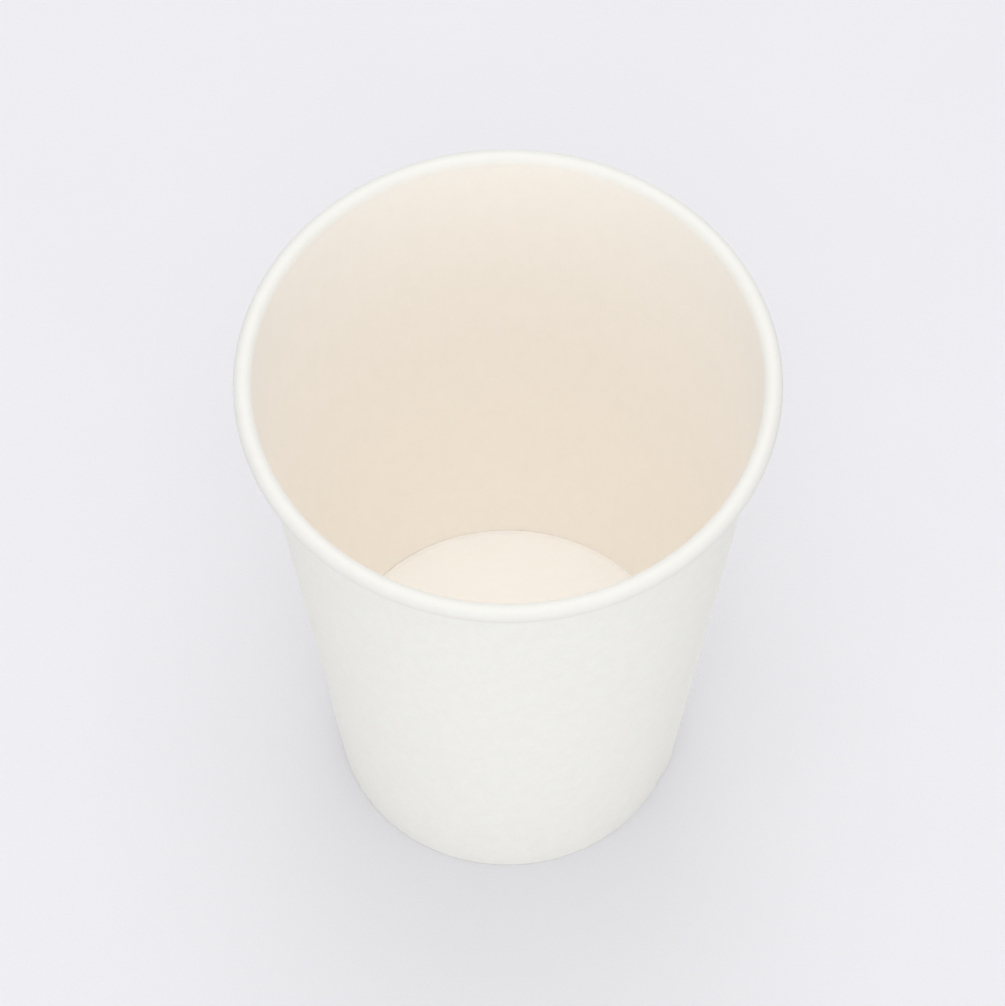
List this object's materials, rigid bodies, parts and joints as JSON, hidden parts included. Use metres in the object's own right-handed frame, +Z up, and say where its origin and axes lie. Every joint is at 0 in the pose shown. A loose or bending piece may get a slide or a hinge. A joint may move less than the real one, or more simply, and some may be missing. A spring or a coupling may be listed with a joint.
{
  "type": "paper cup",
  "caption": "Tall tapered paper cup for hot drinks, open at the top, with a rolled rim, a glued side seam and a recessed bottom sealed into its foot.",
  "frame": {"origin": "centre of the foot ring, on the surface that the cup stands on", "axes": "+Z up along the cup's axis, towards the open rim; the side seam lies near +X"},
  "size_m": [0.09, 0.09, 0.115],
  "materials": {
    "sidewall_board": "matte",
    "bottom_board": "satin"
  },
  "bodies": {
    "root": {"sidewall": "sidewall_board", "bottom_disc": "bottom_board"}
  },
  "joints": []
}
